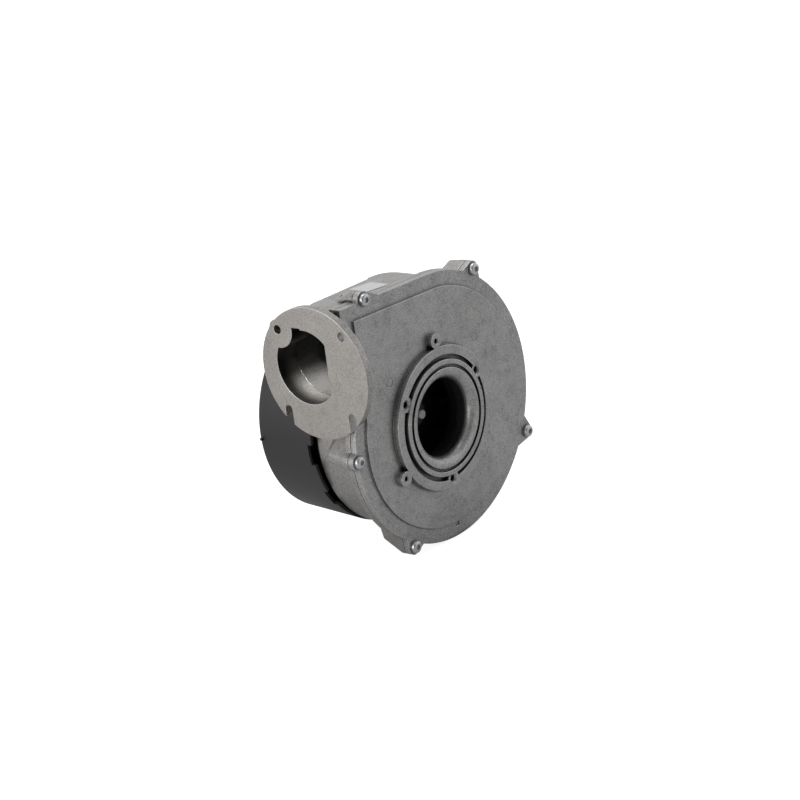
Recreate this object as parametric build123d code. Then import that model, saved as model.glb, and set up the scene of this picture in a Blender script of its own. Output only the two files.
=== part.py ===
from build123d import *
from math import cos, hypot, pi, radians, sin, sqrt
import os

# Radial premix blower. Millimetres, +Z up, impeller axis along Y.
# Origin: centre of the inlet, on the front face of the raised mounting ring.
# Air comes in along +Y through the bellmouth and leaves along -X through the outlet flange.

# Planes along the impeller axis
RING_FACE_Y = 0.0
RING_LIP = 1.1
RING_HEIGHT = 4.8
STEP_HEIGHT = 1.7
COVER_BACK_Y = 11.0
COVER_WALL = 3.5
GASKET_T = 0.6
HOUSING_FLANGE_T = 4.4
HOUSING_REAR_Y = 58.8
HOUSING_WALL = 4.0

# Outline of the cover and of the housing flange, looking along +Y
OUTLINE_R = 101.8
OUTLINE_CX = 5.0
OUTLINE_CZ = 6.0
COVER_LEFT_X = -91.0
COVER_TOP_Z = 110.0
RIM_WIDTH = 11.5
ARC_LOW_LEFT = 200.0
ARC_LOW_RIGHT = -40.0
GASKET_INSET = 1.2

# Cover screws and the lugs that hold them
SCREW_POINTS = [(-65.2, 110.1), (58.3, 96.8), (99.3, -45.3), (-45.5, -85.8), (-93.0, -2.7)]
LUG_TIP_R = 6.2
LUG_ROOT_R = 17.0
LUG_REACH = 19.0
LUG_BOSS_DEPTHS = [13.0, 11.0, 18.0, 18.0, 18.0]
LUG_BOSS_LEANS = [5.0, 0.5, 4.5, 6.5, 4.5]
LUG_BOSS_NARROW = 0.9
LUG_FADE_DEPTH = 8.0
LUG_FADE_LEAN = 9.0
LUG_FADE_NARROW = 0.7
SCREW_HEAD_R = 4.75
SCREW_HEAD_H = 3.2
SCREW_THREAD_R = 2.45
SCREW_POINT = 0.5
SCREW_CROWN = 0.45
SCREW_TOP = 0.78
SCREW_LENGTH = 18.0
SCREW_DRIVE_R = 2.2
SCREW_DRIVE_DEPTH = 1.8
THREAD_CLEARANCE = 0.05
SHANK_CLEARANCE = 0.3
THREAD_SPARE = 1.5

# Raised mounting ring and bellmouth on the cover
RING_R = 54.2
POCKET_OUT_R = 47.5
POCKET_IN_R = 43.8
POCKET_DEPTH = 4.0
GROOVE_OUT_R = 40.4
GROOVE_IN_R = 37.7
GROOVE_DEPTH = 1.4
THROAT_R = 29.5
MOUTH_R = 7.1
THROAT_END_Y = 14.0
THROAT_WALL = 3.0
BIG_BOLT_R = 47.45
BIG_BOLT_ANGLES = [30, 150, 270]
BIG_BOSS_R = 5.6
BIG_CORE_R = 2.5
BIG_CORE_DEPTH = 10.0
SMALL_BOLT_R = 59.3
EAR_ANGLES = [90, 210]
FACE_HOLE_ANGLE = 330
EAR_R = 5.6
SMALL_CORE_R = 1.65
SMALL_CORE_DEPTH = 8.5
PAD_WALL = 1.5

# Scroll
SCROLL_START_R = 78.0
SCROLL_START_ANGLE = 177.0
SCROLL_END_R = 103.0
SCROLL_END_ANGLE = 405.0
SCROLL_SPLINE_STEP = 15
SCROLL_TOP_X = 0.0
SCROLL_REAR_ROUND = 1.0
DUCT_TOP_Z = 109.0
DUCT_BOTTOM_Z = 38.5

# Outlet flange and duct
FLANGE_FACE_X = -105.0
FLANGE_T = 6.0
FLANGE_R = 48.85
FLANGE_Y = 25.35
FLANGE_Z = 65.8
FIX_SPACING = 60.0
FIX_HOLE_R = 3.4
BORE_R = 27.5
BORE_OFF_Y = 7.0
BORE_OFF_Z = 4.0
BORE_FLAT_Y = 12.0
FIX_BOSS_R = 13.6
FIX_BOSS_LENGTH = 12.0
BORE_LEDGE_TOP = 5.2
BORE_LEDGE_HALF = 4.0
FIX_BOSS_WALL = 4.2
NECK_R = 35.0
NECK_Y = 29.5
NECK_Z = 73.5
NECK_FRONT_Y = 7.0
NECK_FLAT = 1.0
DUCT_LIP = 2.0
DUCT_MID_X = -64.0
DUCT_MID_ROUND = 16.0
DUCT_END_ROUND = 3.0

# Impeller
IMPELLER_R = 65.0
EYE_R = 31.2
SHROUD_EYE_Y = 15.6
SHROUD_RIM_Y = 29.0
SHROUD_T = 1.2
SHROUD_NECK = 4.0
SHROUD_CONE_RISE = 3.0
BACK_DISC_Y = 46.0
BACK_DISC_T = 1.6
BLADE_COUNT = 9
BLADE_T = 1.5
BLADE_INNER_R = 33.0
BLADE_TURN = 52.0
BLADE_BEND = 0.38
BLADE_TIP_SET_BACK = 0.4
BLADE_GAP = 0.1
HUB_R = 10.0
HUB_FLANGE_R = 17.0
HUB_FLANGE_T = 3.0
HUB_LENGTH = 17.0
HUB_END = 1.0
CLIP_R = 8.0
CLIP_T = 1.0
HUB_RIVET_R = 1.6
HUB_RIVET_HEAD_R = 2.8
HUB_RIVET_HEAD_H = 1.2
HUB_RIVET_CIRCLE_R = 13.6
HUB_RIVET_COUNT = 6

# Shaft and bearings
SHAFT_R = 4.0
SHAFT_END_Y = 22.4
SHAFT_CHAMFER = 0.75
BEARING_R = 11.0
BEARING_W = 7.0
RACE_OUT_R = 9.4
RACE_IN_R = 6.1
BALL_R = 1.9
BALL_COUNT = 7
BALL_CLEARANCE = 0.05
CAGE_W = 2.0
CAGE_SET_BACK = 0.8
FRONT_BEARING_Y = 52.0
REAR_BEARING_Y = 92.8
SEAL_LAND = 1.0
BOSS_WALL = 1.0
SEAL_T = 2.0
SEAL_R = 9.0
SHAFT_PASS = 1.5
SEAL_CLEARANCE = 0.25
SPRING_T = 0.9
SPRING_OUT_R = 10.6
SPRING_IN_R = 8.8
SHAFT_END_GAP = 0.5
FIT_CLEARANCE = 0.03

# Motor
STATOR_Y = 66.0
STATOR_LENGTH = 20.0
STATOR_R = 46.0
YOKE_R = 39.5
TOOTH_COUNT = 9
TOOTH_W = 7.0
TOOTH_TIP_R = 25.3
TOOTH_SHOE_R = 27.6
TOOTH_SHOE_W = 14.0
INSULATOR_R = 42.0
AIR_GAP = 0.8
MAGNET_T = 4.0
MAGNET_COUNT = 6
MAGNET_GAP_DEG = 6.0
INSULATOR_T = 1.0
COIL_OVER = 2.6
COIL_W = 2.8
COIL_CLEARANCE = 0.15
COIL_ROUND = 2.2
STATOR_RING_T = 3.8
STATOR_SEAT_DEPTH = 4.0
POST_CIRCLE_R = 56.0
POST_R = 5.2
POST_ANGLES = [90, 210, 330]
BRACKET_T = 3.5
BRACKET_EAR_T = 4.0
BRACKET_RING_WALL = 3.0
BRACKET_LIFT = 1.2
BRACKET_HUB_WALL = 3.5
BRACKET_HUB_LIP = 1.5
POST_SPARE = 2.0
BRACKET_SCREW_R = 1.95
BRACKET_SCREW_HEAD_R = 3.6
BRACKET_SCREW_HEAD_H = 2.4
BRACKET_SCREW_LENGTH = 16.0
WEB_WINDOW_R = 7.0
WEB_WINDOW_CIRCLE_R = 30.0
WEB_WINDOW_COUNT = 6

# Circuit board and sockets
BOARD_Y = 103.0
BOARD_T = 1.6
BOARD_R = 73.0
BOARD_HOLE_R = 17.0
BOARD_CLEARANCE = 1.0
BOARD_SLOT_SHIFT = 6.0
STANDOFF_R = 3.0
STANDOFF_CIRCLE_R = 40.0
STANDOFF_ANGLES = [30, 150, 270]
BOARD_SCREW_R = 1.45
BOARD_SCREW_HEAD_R = 2.8
BOARD_SCREW_HEAD_H = 1.8
BOARD_SCREW_LENGTH = 6.0
CAPACITOR_R = 8.0
CAPACITOR_H = 24.0
CAPACITOR_ANGLES = [112, 186, 232]
CAPACITOR_CIRCLE_R = 63.0
CHOKE_R = 9.5
CHOKE_HOLE_R = 4.0
CHOKE_T = 10.0
CHOKE_ANGLE = 300
CHOKE_CIRCLE_R = 60.0
SOCKET_WALL = 1.5
SOCKET_Y = 84.0
SOCKET_DEPTH = 18.0
SOCKET_FLOOR = 3.0
SOCKET_TOP_Z = 84.6
SOCKET_BOTTOM_Z = 62.0
POWER_SOCKET_X = 15.0
POWER_SOCKET_W = 24.0
POWER_PINS = 3
POWER_PITCH = 6.5
CONTROL_SOCKET_X = -14.0
CONTROL_SOCKET_W = 22.0
CONTROL_PINS = 5
CONTROL_PITCH = 3.6
PIN_W = 0.9
PIN_LENGTH = 12.0
SOCKET_CLEARANCE = 0.3
SOCKET_FOOT = 4.0
SOCKET_MOUTH = 20.0
SOCKET_SIDE = 90.0

# Motor cover
CAP_FRONT_Y = 59.5
CAP_REAR_Y = 115.3
CAP_FRONT_R = 83.8
CAP_REAR_R = 80.5
CAP_WALL = 2.5
CAP_ROUND = 4.0
CAP_STEP_R = 52.0
CAP_STEP_H = 1.5
CAP_PAD_TOP = 3.0
CAP_PAD_Y = 80.0
CAP_PAD_REAR_GAP = 5.0
CAP_PAD_BASE = 60.0
CAP_PAD_LOW = -28.0
CAP_PAD_HIGH = 30.0
CAP_PAD_ROUND = 2.0
CAP_OVERLAP = 1.0
NOTCH_DEPTH = 4.0
NOTCH_W = 16.0
NOTCH_ANGLES = [60, 120, 185.5, 214, 270, 322]
WELL_ANGLES = [35, 150, 270]
WELL_CIRCLE_R = 70.0
WELL_R = 5.8
WELL_BORE_R = 4.3
WELL_FLOOR_T = 4.0
WELL_SPARE = 0.5
CAP_BOSS_H = 3.5
CAP_BOSS_R = 5.4
CAP_SCREW_R = 1.7
CAP_SCREW_HEAD_R = 3.7
CAP_SCREW_HEAD_H = 2.6
CAP_SCREW_LENGTH = 9.5
TAB_ANGLE = 181.5
TAB_LENGTH = 2.6
TAB_W = 1.8
TAB_ROOT = 0.6

# Blank label on top of the scroll
LABEL_X0 = -36.0
LABEL_X1 = -11.5
LABEL_Y0 = 27.7
LABEL_Y1 = 46.0
LABEL_T = 0.3

# Sizes that follow from the ones above
FACE_Y = RING_FACE_Y + RING_HEIGHT
RIM_Y = FACE_Y + STEP_HEIGHT
HOUSING_FRONT_Y = COVER_BACK_Y + GASKET_T
HOUSING_INNER_Y = HOUSING_REAR_Y - HOUSING_WALL
FLANGE_BACK_X = FLANGE_FACE_X + FLANGE_T
BORE_Y = FLANGE_Y + BORE_OFF_Y
BORE_Z = FLANGE_Z + BORE_OFF_Z
SHAFT_BACK_Y = REAR_BEARING_Y + BEARING_W + SPRING_T - SHAFT_END_GAP
ROTOR_R = TOOTH_TIP_R - AIR_GAP
ROTOR_CORE_R = ROTOR_R - MAGNET_T
STATOR_END_Y = STATOR_Y + STATOR_LENGTH
BRACKET_Y = STATOR_END_Y + INSULATOR_T + COIL_OVER + BRACKET_LIFT
POST_TOP_Y = STATOR_END_Y - STATOR_SEAT_DEPTH - BRACKET_EAR_T
CAP_BOSS_Y = HOUSING_REAR_Y + CAP_BOSS_H
SEAL_Y = FRONT_BEARING_Y - SEAL_LAND - SEAL_T
HUB_FLANGE_Y = BACK_DISC_Y - BACK_DISC_T - HUB_FLANGE_T
TRACK_R = (RACE_OUT_R + RACE_IN_R) / 2
SCROLL_TOP_SLOPE = (DUCT_TOP_Z - SCROLL_END_R) / (COVER_LEFT_X - SCROLL_TOP_X)
DUCT_JOIN_X = COVER_LEFT_X + RIM_WIDTH / 2


def upright(y):
    """Plane square to the impeller axis, drawn in X and Z."""
    return Plane(origin=(0, y, 0), x_dir=(1, 0, 0), z_dir=(0, -1, 0))


def prism(sketch, y0, y1):
    """Extrude a sketch drawn in X and Z from y0 to y1."""
    return upright(y1) * extrude(sketch, y1 - y0)


def ring(r_out, r_in, y0, y1, x=0.0, z=0.0):
    """A washer or tube round an axis parallel to Y."""
    shape = Circle(r_out)
    if r_in > 0:
        shape -= Circle(r_in)
    return prism(Pos(x, z) * shape, y0, y1)


def disc(r, y0, y1, x=0.0, z=0.0):
    """A solid round bar parallel to Y."""
    return ring(r, 0, y0, y1, x, z)


def turned(points):
    """Revolve an outline of (radius, y) points about the impeller axis."""
    face = make_face(Polyline(*points, close=True))
    return revolve(face, Axis.Y)


def polar(radius, angle):
    """Point at a radius and an angle, in degrees from +X towards +Z."""
    return (radius * cos(radians(angle)), radius * sin(radians(angle)))


def group(shapes):
    """Several separate solids kept together as one compound."""
    solids = []
    for shape in shapes:
        solids.extend(shape.solids())
    return Compound(children=solids)


def save(shape, name):
    """Write one sub-part to its own file."""
    export_step(shape, "parts/" + name + ".step")


def rim_outline(inset):
    """Outline of the two castings' joint: a large arc, a small arc, a left side and a top."""
    big_r = OUTLINE_R - inset
    small_r = OUTLINE_R - hypot(OUTLINE_CX, OUTLINE_CZ) - inset
    left = COVER_LEFT_X + inset
    top = COVER_TOP_Z - inset
    shift = hypot(OUTLINE_CX, OUTLINE_CZ)
    join = (-small_r * OUTLINE_CX / shift, -small_r * OUTLINE_CZ / shift)
    low_left = (left, sqrt(small_r ** 2 - left ** 2))
    middle = polar(small_r, ARC_LOW_LEFT)
    low_right = polar(big_r, ARC_LOW_RIGHT)
    bottom = (OUTLINE_CX + low_right[0], OUTLINE_CZ + low_right[1])
    summit = (OUTLINE_CX, OUTLINE_CZ + big_r)
    top_left = (left, top)
    edges = [
        ThreePointArc(low_left, middle, join),
        ThreePointArc(join, bottom, summit),
        Line(summit, top_left),
        Line(top_left, low_left),
    ]
    return make_face(edges)


def lug(x, z, tip_r):
    """Screw lug: a round tip that spreads with straight flanks into the rim."""
    reach = LUG_REACH / hypot(x, z)
    root = Pos(x * (1 - reach), z * (1 - reach)) * Circle(LUG_ROOT_R)
    tip = Pos(x, z) * Circle(tip_r)
    return make_hull(tip.edges() + root.edges())


def lug_boss(x, z, y0, depth, lean):
    """Boss behind a lug: it leans in towards the back wall, then fades into the scroll."""
    y1 = y0 + depth
    mid = 1 - lean / hypot(x, z)
    low = 1 - (lean + LUG_FADE_LEAN) / hypot(x, z)
    front = lug(x, z, LUG_TIP_R)
    back = lug(x * mid, z * mid, LUG_TIP_R * LUG_BOSS_NARROW)
    end = lug(x * low, z * low, LUG_TIP_R * LUG_FADE_NARROW)
    boss = loft([upright(y0) * front, upright(y1) * back])
    return boss + loft([upright(y1) * back, upright(y1 + LUG_FADE_DEPTH) * end])


def joint_outline(inset):
    """Rim outline with the five lugs."""
    shape = rim_outline(inset)
    for x, z in SCREW_POINTS:
        shape += lug(x, z, LUG_TIP_R - inset)
    return shape


def scroll_radius(angle):
    """Radius of the scroll wall, which grows smoothly from the tongue round to the top."""
    share = (angle - SCROLL_START_ANGLE) / (SCROLL_END_ANGLE - SCROLL_START_ANGLE)
    share = min(max(share, 0), 1)
    return SCROLL_START_R + (SCROLL_END_R - SCROLL_START_R) * share * share * (3 - 2 * share)


def scroll_outline(inset):
    """Scroll wall: a spiral that opens out counter-clockwise, closed by a line at the top."""
    points = []
    for step in range(360 // SCROLL_SPLINE_STEP + 1):
        angle = 90 + SCROLL_SPLINE_STEP * step
        points.append(polar(scroll_radius(angle) - inset, angle))
    return make_face([Spline(*points), Line(points[-1], points[0])])


def duct_face(x, corners, rear_round):
    """Section of the duct: a flat front, a top, a bottom and a rear with rounded corners."""
    y0, y1, z0, z1 = corners
    bend = rear_round * (1 - cos(pi / 4))
    edges = [
        Line((y0, z0), (y0, z1)),
        Line((y0, z1), (y1 - rear_round, z1)),
        ThreePointArc((y1 - rear_round, z1), (y1 - bend, z1 - bend), (y1, z1 - rear_round)),
        Line((y1, z1 - rear_round), (y1, z0 + rear_round)),
        ThreePointArc((y1, z0 + rear_round), (y1 - bend, z0 + bend), (y1 - rear_round, z0)),
        Line((y1 - rear_round, z0), (y0, z0)),
    ]
    return across(x) * make_face(edges)


def across(x):
    """Plane square to X, drawn in Y and Z."""
    return Plane(origin=(x, 0, 0), x_dir=(0, 1, 0), z_dir=(1, 0, 0))


def duct_body(inset, front_y, start_x):
    """Duct from the flange into the scroll, rounder towards the flange."""
    neck = NECK_R - inset
    start = (front_y, NECK_Y + neck, NECK_Z - neck, NECK_Z + neck)
    rear = HOUSING_REAR_Y - inset
    mid_top = SCROLL_END_R + SCROLL_TOP_SLOPE * DUCT_MID_X - inset
    middle = (front_y, rear, DUCT_BOTTOM_Z + inset, mid_top)
    end = (front_y, rear, DUCT_BOTTOM_Z + inset, SCROLL_END_R - inset)
    first = duct_face(start_x, start, neck - NECK_FLAT)
    second = duct_face(DUCT_MID_X, middle, DUCT_MID_ROUND)
    third = duct_face(SCROLL_TOP_X, end, DUCT_END_ROUND)
    return loft([first, second], ruled=True) + loft([second, third], ruled=True)


def bore_face():
    """Outlet bore: a circle cut by a flat, with a boss and a small ledge left in its corner."""
    face = Pos(BORE_Y, BORE_Z) * Circle(BORE_R)
    face -= Pos(BORE_FLAT_Y - BORE_R, BORE_Z) * Rectangle(2 * BORE_R, 3 * BORE_R)
    ledge_y = FLANGE_Y + FIX_SPACING / 2 - FIX_BOSS_R - BORE_LEDGE_HALF
    ledge_z = FLANGE_Z + FIX_SPACING / 2
    face += Pos(ledge_y, ledge_z) * Rectangle(2 * BORE_LEDGE_HALF, BORE_LEDGE_TOP)
    face -= Pos(FLANGE_Y + FIX_SPACING / 2, FLANGE_Z + FIX_SPACING / 2) * Circle(FIX_BOSS_R)
    return face


def inlet_cover():
    """Die-cast cover: rim, raised face, mounting ring with pockets, bellmouth and lugs."""
    body = prism(joint_outline(0), RIM_Y, COVER_BACK_Y)
    body += prism(rim_outline(RIM_WIDTH), FACE_Y, COVER_BACK_Y)
    inner_y = FACE_Y + COVER_WALL
    body -= prism(scroll_outline(HOUSING_WALL), inner_y, COVER_BACK_Y)
    for angle in BIG_BOLT_ANGLES:
        x, z = polar(BIG_BOLT_R, angle)
        body += disc(BIG_BOSS_R, FACE_Y, BIG_CORE_DEPTH + PAD_WALL, x, z)
    for angle in EAR_ANGLES + [FACE_HOLE_ANGLE]:
        x, z = polar(SMALL_BOLT_R, angle)
        body += disc(EAR_R, FACE_Y, FACE_Y + SMALL_CORE_DEPTH + PAD_WALL, x, z)
    body -= disc(THROAT_R + THROAT_WALL, FACE_Y, THROAT_END_Y)
    body += mounting_ring(inner_y)
    for angle in EAR_ANGLES:
        x, z = polar(SMALL_BOLT_R, angle)
        body += disc(EAR_R, RING_FACE_Y, FACE_Y, x, z)
    for angle in BIG_BOLT_ANGLES:
        x, z = polar(BIG_BOLT_R, angle)
        body += disc(BIG_BOSS_R, RING_FACE_Y, FACE_Y, x, z)
        body -= disc(BIG_CORE_R, RING_FACE_Y, BIG_CORE_DEPTH, x, z)
    for angle in EAR_ANGLES:
        x, z = polar(SMALL_BOLT_R, angle)
        body -= disc(SMALL_CORE_R, RING_FACE_Y, SMALL_CORE_DEPTH, x, z)
    x, z = polar(SMALL_BOLT_R, FACE_HOLE_ANGLE)
    body -= disc(SMALL_CORE_R, FACE_Y, FACE_Y + SMALL_CORE_DEPTH, x, z)
    for x, z in SCREW_POINTS:
        body -= disc(SCREW_THREAD_R + SHANK_CLEARANCE, RIM_Y, COVER_BACK_Y, x, z)
    return body


def mounting_ring(inner_y):
    """Turned section of the ring, its pocket and groove, and the rolled bellmouth."""
    lip = RING_FACE_Y - RING_LIP
    mouth_x = THROAT_R + MOUTH_R
    mouth_y = lip + MOUTH_R
    mid = (mouth_x - MOUTH_R * cos(pi / 4), mouth_y - MOUTH_R * sin(pi / 4))
    roll = ThreePointArc((THROAT_R, mouth_y), mid, (mouth_x, lip))
    outline = Polyline(
        (mouth_x, lip),
        (GROOVE_IN_R, lip),
        (GROOVE_IN_R, RING_FACE_Y + GROOVE_DEPTH),
        (GROOVE_OUT_R, RING_FACE_Y + GROOVE_DEPTH),
        (GROOVE_OUT_R, lip),
        (POCKET_IN_R, lip),
        (POCKET_IN_R, RING_FACE_Y + POCKET_DEPTH),
        (POCKET_OUT_R, RING_FACE_Y + POCKET_DEPTH),
        (POCKET_OUT_R, RING_FACE_Y),
        (RING_R, RING_FACE_Y),
        (RING_R, inner_y),
        (THROAT_R + THROAT_WALL, inner_y),
        (THROAT_R + THROAT_WALL, THROAT_END_Y),
        (THROAT_R, THROAT_END_Y),
        (THROAT_R, mouth_y),
    )
    return revolve(make_face([roll, outline]), Axis.Y)


def cover_gasket():
    """Flat seal between the two castings, set back a little from their edge."""
    face = joint_outline(GASKET_INSET) - scroll_outline(HOUSING_WALL)
    duct = Polyline(
        (DUCT_JOIN_X, DUCT_BOTTOM_Z + HOUSING_WALL),
        (DUCT_JOIN_X, DUCT_TOP_Z - HOUSING_WALL - DUCT_LIP),
        (SCROLL_TOP_X, SCROLL_END_R - HOUSING_WALL),
        (SCROLL_TOP_X, DUCT_BOTTOM_Z + HOUSING_WALL),
        close=True,
    )
    face -= make_face(duct)
    body = prism(face, COVER_BACK_Y, HOUSING_FRONT_Y)
    for x, z in SCREW_POINTS:
        body -= disc(SCREW_THREAD_R + SHANK_CLEARANCE, COVER_BACK_Y, HOUSING_FRONT_Y, x, z)
    return body.solids().sort_by(SortBy.VOLUME)[-1]


def volute_housing():
    """Die-cast scroll with its joint flange, screw bosses, duct, outlet flange and back wall."""
    joint_y = HOUSING_FRONT_Y + HOUSING_FLANGE_T
    scroll = prism(scroll_outline(0), HOUSING_FRONT_Y, HOUSING_REAR_Y)
    rear_edges = scroll.faces().sort_by(Axis.Y)[-1].edges()
    scroll = fillet(rear_edges.sort_by(SortBy.LENGTH)[-1], SCROLL_REAR_ROUND)
    body = scroll + prism(joint_outline(0), HOUSING_FRONT_Y, joint_y)
    for (x, z), depth, lean in zip(SCREW_POINTS, LUG_BOSS_DEPTHS, LUG_BOSS_LEANS):
        body += lug_boss(x, z, joint_y, depth, lean)
    body += duct_body(0, HOUSING_FRONT_Y, FLANGE_BACK_X)
    body -= prism(scroll_outline(HOUSING_WALL), HOUSING_FRONT_Y, HOUSING_INNER_Y)
    body -= duct_body(HOUSING_WALL, HOUSING_FRONT_Y, DUCT_JOIN_X)
    body += outlet_flange()
    body -= across(FLANGE_FACE_X) * extrude(bore_face(), DUCT_JOIN_X - FLANGE_FACE_X)
    for side in (-1, 1):
        hole = Pos(FLANGE_Y + side * FIX_SPACING / 2, FLANGE_Z + FIX_SPACING / 2) * Circle(FIX_HOLE_R)
        body -= across(FLANGE_FACE_X) * extrude(hole, FIX_BOSS_LENGTH)
    for x, z in SCREW_POINTS:
        depth = SCREW_LENGTH + RIM_Y - HOUSING_FRONT_Y + THREAD_SPARE
        body -= disc(SCREW_THREAD_R + THREAD_CLEARANCE, HOUSING_FRONT_Y, HOUSING_FRONT_Y + depth, x, z)
    return motor_seat(body)


def outlet_flange():
    """Round flange with two open slots, a boss behind one hole and the neck behind it."""
    face = Pos(FLANGE_Y, FLANGE_Z) * Circle(FLANGE_R)
    flange = across(FLANGE_FACE_X) * extrude(face, FLANGE_T)
    neck_y1 = HOUSING_FRONT_Y + HOUSING_FLANGE_T
    neck_z0 = DUCT_BOTTOM_Z + HOUSING_WALL
    neck = Pos((FLANGE_BACK_X + COVER_LEFT_X) / 2, (NECK_FRONT_Y + neck_y1) / 2, NECK_Z) * Box(
        COVER_LEFT_X - FLANGE_BACK_X, neck_y1 - NECK_FRONT_Y, 2 * (NECK_Z - neck_z0))
    gap = Pos((COVER_LEFT_X - GASKET_T), 0, 0) * Box(2 * GASKET_T, 2 * HOUSING_FRONT_Y, 4 * NECK_Z)
    flange += neck - gap
    boss_y = FLANGE_Y + FIX_SPACING / 2
    boss_z = FLANGE_Z + FIX_SPACING / 2
    boss = Pos(boss_y, boss_z) * Circle(FIX_HOLE_R + FIX_BOSS_WALL)
    flange += across(FLANGE_FACE_X) * extrude(boss, FIX_BOSS_LENGTH)
    for side in (-1, 1):
        y = FLANGE_Y + side * FIX_SPACING / 2
        slot = Pos(y, FLANGE_Z - FIX_SPACING / 2) * Circle(FIX_HOLE_R)
        slot += Pos(y, FLANGE_Z - FIX_SPACING / 2 - FLANGE_R / 2) * Rectangle(2 * FIX_HOLE_R, FLANGE_R)
        flange -= across(FLANGE_FACE_X) * extrude(slot, FLANGE_T)
    return flange


def motor_seat(body):
    """Back wall details: bearing boss, stator ring, posts and screw bosses of the motor cover."""
    out_r = STATOR_R + STATOR_RING_T
    root_y = HOUSING_INNER_Y + HOUSING_WALL / 2
    body += disc(BEARING_R + HOUSING_WALL, SEAL_Y - BOSS_WALL, FRONT_BEARING_Y + BEARING_W)
    body += ring(out_r, STATOR_R - BRACKET_RING_WALL, root_y, STATOR_Y)
    body += ring(out_r, STATOR_R, STATOR_Y - BRACKET_RING_WALL, STATOR_Y + STATOR_SEAT_DEPTH)
    for angle in POST_ANGLES:
        x, z = polar(POST_CIRCLE_R, angle)
        depth = BRACKET_SCREW_LENGTH - BRACKET_EAR_T + POST_SPARE
        body += disc(POST_R, root_y, POST_TOP_Y, x, z)
        body -= disc(BRACKET_SCREW_R + THREAD_CLEARANCE, POST_TOP_Y - depth, POST_TOP_Y, x, z)
    for angle in WELL_ANGLES:
        x, z = polar(WELL_CIRCLE_R, angle)
        depth = CAP_SCREW_LENGTH - WELL_FLOOR_T + WELL_SPARE
        body += disc(CAP_BOSS_R, root_y, CAP_BOSS_Y, x, z)
        body -= disc(CAP_SCREW_R + THREAD_CLEARANCE, CAP_BOSS_Y - depth, CAP_BOSS_Y, x, z)
    body -= disc(BEARING_R, FRONT_BEARING_Y, FRONT_BEARING_Y + BEARING_W)
    body -= disc(SEAL_R, SEAL_Y, FRONT_BEARING_Y)
    body -= disc(SHAFT_R + SHAFT_PASS, SEAL_Y - BOSS_WALL, FRONT_BEARING_Y)
    return body


def cover_screws():
    """Pan-head screws that hold the cover."""
    return group([pan_screw(x, z, RIM_Y, 1, SCREW_THREAD_R, SCREW_LENGTH, SCREW_HEAD_R, SCREW_HEAD_H)
                  for x, z in SCREW_POINTS])


def pan_screw(x, z, seat_y, way, thread_r, length, head_r, head_h):
    """Pan-head screw with a six-lobed recess; its shank runs from the seat towards +Y or -Y."""
    crown = head_h * SCREW_CROWN
    drive_r = head_r * SCREW_DRIVE_R / SCREW_HEAD_R
    points = [
        (0, length),
        (thread_r - SCREW_POINT, length),
        (thread_r, length - SCREW_POINT),
        (thread_r, 0),
        (head_r, 0),
        (head_r, -(head_h - crown)),
        (head_r * SCREW_TOP, -head_h),
        (0, -head_h),
    ]
    screw = revolve(make_face(Polyline(*points, close=True)), Axis.Y)
    screw -= prism(RegularPolygon(drive_r, 6), -head_h, -head_h + SCREW_DRIVE_DEPTH)
    if way < 0:
        screw = mirror(screw, about=Plane.XZ)
    return Pos(x, seat_y, z) * screw


def impeller_front_shroud():
    """Spun front disc of the impeller: a short collar at the eye that curves out to a shallow cone."""
    inner = shroud_line(0)
    outer = shroud_line(SHROUD_T)
    edges = inner + [Line(inner[-1] @ 1, outer[-1] @ 1)] + outer + [Line(outer[0] @ 0, inner[0] @ 0)]
    return revolve(make_face(edges), Axis.Y)


def shroud_line(offset):
    """Section of the shroud at an offset from its front face: collar, bend and cone."""
    collar_r = EYE_R + SHROUD_T - offset
    cone_y = SHROUD_RIM_Y - SHROUD_CONE_RISE + offset
    bend_r = cone_y - SHROUD_EYE_Y - SHROUD_NECK
    mid = (collar_r + bend_r * (1 - cos(pi / 4)), cone_y - bend_r * (1 - sin(pi / 4)))
    return [
        Line((collar_r, SHROUD_EYE_Y), (collar_r, SHROUD_EYE_Y + SHROUD_NECK)),
        ThreePointArc((collar_r, SHROUD_EYE_Y + SHROUD_NECK), mid, (collar_r + bend_r, cone_y)),
        Line((collar_r + bend_r, cone_y), (IMPELLER_R, SHROUD_RIM_Y + offset)),
    ]


def passage():
    """Space between the shroud and the back disc that the blades fill."""
    disc_y = BACK_DISC_Y - BACK_DISC_T
    front = [Pos(0, BLADE_GAP) * edge for edge in shroud_line(SHROUD_T)]
    start = front[0] @ 0
    end = front[-1] @ 1
    back = Polyline(end, (IMPELLER_R, disc_y), (start.X, disc_y), start)
    return revolve(make_face(front + [back]), Axis.Y)


def impeller_blades():
    """Backward-curved blades, each an arc in plan, cut to the passage."""
    start = polar(BLADE_INNER_R, 0)
    end = polar(IMPELLER_R - BLADE_TIP_SET_BACK, -BLADE_TURN)
    mid = polar((BLADE_INNER_R + IMPELLER_R) / 2, -BLADE_TURN * BLADE_BEND)
    face = trace(ThreePointArc(start, mid, end), BLADE_T)
    blade = prism(face, SHROUD_EYE_Y, BACK_DISC_Y - BACK_DISC_T) & passage()
    turns = [Rot(0, 360 / BLADE_COUNT * index, 0) * blade for index in range(BLADE_COUNT)]
    return group(turns)


def impeller_back_disc():
    """Flat rear disc with its hub hole and rivet holes."""
    body = ring(IMPELLER_R, HUB_R + FIT_CLEARANCE, BACK_DISC_Y - BACK_DISC_T, BACK_DISC_Y)
    for index in range(HUB_RIVET_COUNT):
        x, z = polar(HUB_RIVET_CIRCLE_R, 360 / HUB_RIVET_COUNT * index)
        body -= disc(HUB_RIVET_R + FIT_CLEARANCE, BACK_DISC_Y - BACK_DISC_T, BACK_DISC_Y, x, z)
    return body


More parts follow.
